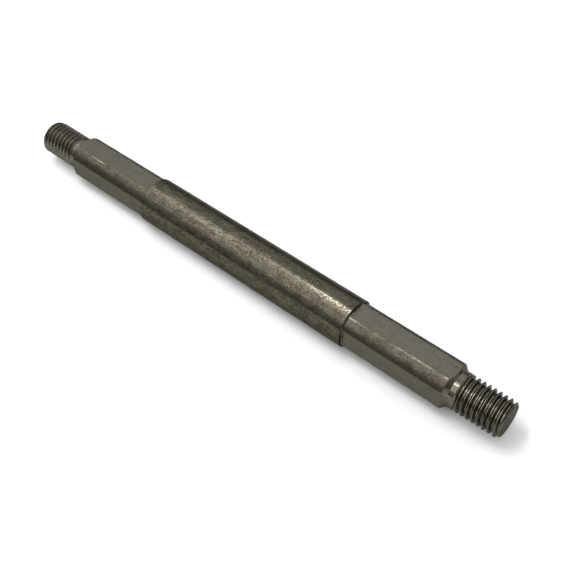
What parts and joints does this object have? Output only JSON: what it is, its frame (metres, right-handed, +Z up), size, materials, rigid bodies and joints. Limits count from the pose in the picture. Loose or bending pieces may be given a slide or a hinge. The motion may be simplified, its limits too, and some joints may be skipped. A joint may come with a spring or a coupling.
{
  "type": "stepped shaft",
  "caption": "Solid steel shaft with a plain round body, a square-flatted seat at each side of it and a threaded spigot at each end.",
  "frame": {"origin": "on the shaft's axis, half-way along its length", "axes": "+X along the axis, +Y and +Z square to the milled flats, +Z up as the shaft lies on a flat"},
  "size_m": [0.1918, 0.016, 0.016],
  "materials": {
    "steel": "turned and milled steel with a dull grey oxide skin"
  },
  "bodies": {
    "root": {"shaft": "steel"}
  },
  "joints": []
}
